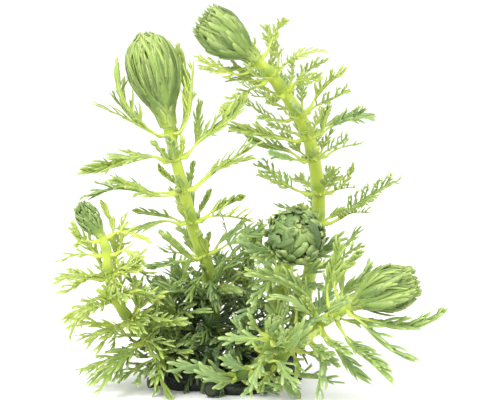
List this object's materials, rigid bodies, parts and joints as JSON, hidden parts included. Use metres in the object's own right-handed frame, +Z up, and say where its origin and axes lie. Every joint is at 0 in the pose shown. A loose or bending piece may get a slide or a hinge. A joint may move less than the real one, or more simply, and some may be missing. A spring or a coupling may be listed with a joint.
{
  "type": "guyana milfoil",
  "caption": "Upright clump of feathery milfoil: jointed stems with whorls of pinnate leaves and scaly bud tips, rising from one low dark rootstock that is cut flat below.",
  "frame": {"origin": "middle of the rootstock's flat cut underside", "axes": "+Z up along the shoots, +X to the right and +Y away from the side that the picture shows"},
  "size_m": [0.103, 0.071, 0.1036],
  "materials": {
    "leaf_green": "fresh leaf, soft matte, a little translucent",
    "stem_green": "smooth juicy stem, soft sheen, yellow green",
    "bud_green": "folded young leaves, matte, blue green in the shade",
    "root_brown": "wet old stem tissue, dark green brown, rough"
  },
  "bodies": {
    "root": {"rootstock": "root_brown", "left_tall_stem": "stem_green", "right_tall_stem": "stem_green", "left_arching_stem": "stem_green", "right_low_stem": "stem_green", "centre_stem": "stem_green", "front_creeping_stem": "stem_green", "left_short_stem": "stem_green", "rear_short_stem": "stem_green", "left_tall_bud": "bud_green", "right_tall_bud": "bud_green", "left_arching_bud": "bud_green", "right_low_bud": "bud_green", "centre_bud": "bud_green", "front_creeping_bud": "bud_green", "left_short_bud": "bud_green", "rear_short_bud": "bud_green", "left_tall_whorl_1": "leaf_green", "left_tall_whorl_2": "leaf_green", "left_tall_whorl_3": "leaf_green", "left_tall_whorl_4": "leaf_green", "left_tall_whorl_5": "leaf_green", "left_tall_whorl_6": "leaf_green", "left_tall_whorl_7": "leaf_green", "right_tall_whorl_1": "leaf_green", "right_tall_whorl_2": "leaf_green", "right_tall_whorl_3": "leaf_green", "right_tall_whorl_4": "leaf_green", "right_tall_whorl_5": "leaf_green", "right_tall_whorl_6": "leaf_green", "right_tall_whorl_7": "leaf_green", "right_tall_whorl_8": "leaf_green", "right_tall_whorl_9": "leaf_green", "left_arching_whorl_1": "leaf_green", "left_arching_whorl_2": "leaf_green", "left_arching_whorl_3": "leaf_green", "left_arching_whorl_4": "leaf_green", "left_arching_whorl_5": "leaf_green", "left_arching_whorl_6": "leaf_green", "left_arching_whorl_7": "leaf_green", "right_low_whorl_1": "leaf_green", "right_low_whorl_2": "leaf_green", "right_low_whorl_3": "leaf_green", "right_low_whorl_4": "leaf_green", "right_low_whorl_5": "leaf_green", "right_low_whorl_6": "leaf_green", "centre_whorl_1": "leaf_green", "centre_whorl_2": "leaf_green", "centre_whorl_3": "leaf_green", "front_creeping_whorl_1": "leaf_green", "front_creeping_whorl_2": "leaf_green", "front_creeping_whorl_3": "leaf_green", "front_creeping_whorl_4": "leaf_green", "left_short_whorl_1": "leaf_green", "left_short_whorl_2": "leaf_green", "left_short_whorl_3": "leaf_green", "rear_short_whorl_1": "leaf_green", "rear_short_whorl_2": "leaf_green", "rear_short_whorl_3": "leaf_green", "rear_short_whorl_4": "leaf_green"}
  },
  "joints": []
}
